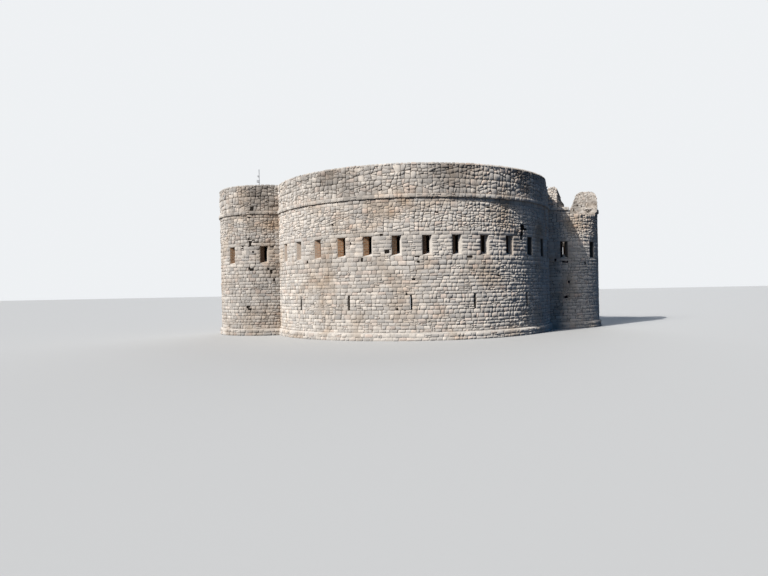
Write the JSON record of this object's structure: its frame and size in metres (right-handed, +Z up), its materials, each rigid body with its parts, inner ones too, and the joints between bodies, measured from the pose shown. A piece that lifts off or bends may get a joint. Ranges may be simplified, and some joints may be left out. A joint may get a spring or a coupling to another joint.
{
  "type": "round stone fort",
  "caption": "Ruined round stone fort: a low drum with loopholes between two round towers, an open roof platform and a partly fallen parapet",
  "frame": {"origin": "on the ground at the centre of the drum", "axes": "+X to the right tower seen from the front, -Y out of the front, +Z up"},
  "size_m": [25.2244, 17.8292, 10.75],
  "materials": {
    "rubble_stone": "coursed squared rubble with worn faces",
    "parapet_rubble": "irregular weathered rubble",
    "dressed_stone": "dressed stone with worn edges",
    "floor_stone": "worn paving",
    "painted_steel": "weathered white paint"
  },
  "bodies": {
    "root": {"ground_wall_front_left": "rubble_stone", "ground_wall_front_centre_left": "rubble_stone", "ground_wall_front_centre_right": "rubble_stone", "ground_wall_front_right": "rubble_stone", "wall_over_door": "rubble_stone", "ground_wall_rear_left": "rubble_stone", "ground_wall_rear_right": "rubble_stone", "ground_wall_left_tower": "rubble_stone", "ground_wall_right_tower": "rubble_stone", "ground_party_walls": "rubble_stone", "upper_wall_front_low": "rubble_stone", "upper_wall_rear_low": "rubble_stone", "window_piers_front": "rubble_stone", "window_piers_rear": "rubble_stone", "upper_wall_front_high": "rubble_stone", "upper_wall_rear_high": "rubble_stone", "tower_walls_low": "rubble_stone", "tower_window_piers": "rubble_stone", "tower_walls_high": "rubble_stone", "upper_party_walls": "rubble_stone", "parapet_front_left": "parapet_rubble", "parapet_front_right": "parapet_rubble", "parapet_rear": "parapet_rubble", "parapet_left_tower": "parapet_rubble", "parapet_right_tower_front": "parapet_rubble", "parapet_right_tower_stub": "parapet_rubble", "window_lintels": "dressed_stone", "window_sills": "dressed_stone", "slit_lintels": "dressed_stone", "door_arch": "dressed_stone", "plinth_front": "dressed_stone", "plinth_rear": "dressed_stone", "plinth_left_tower": "dressed_stone", "plinth_right_tower": "dressed_stone", "string_course_front": "dressed_stone", "string_course_rear": "dressed_stone", "string_course_left_tower": "dressed_stone", "string_course_right_tower": "dressed_stone", "ground_floor_drum": "floor_stone", "ground_floor_towers": "floor_stone", "upper_floor_drum": "floor_stone", "upper_floor_towers": "floor_stone", "roof_drum": "floor_stone", "roof_towers": "floor_stone", "mast": "painted_steel"}
  },
  "joints": []
}
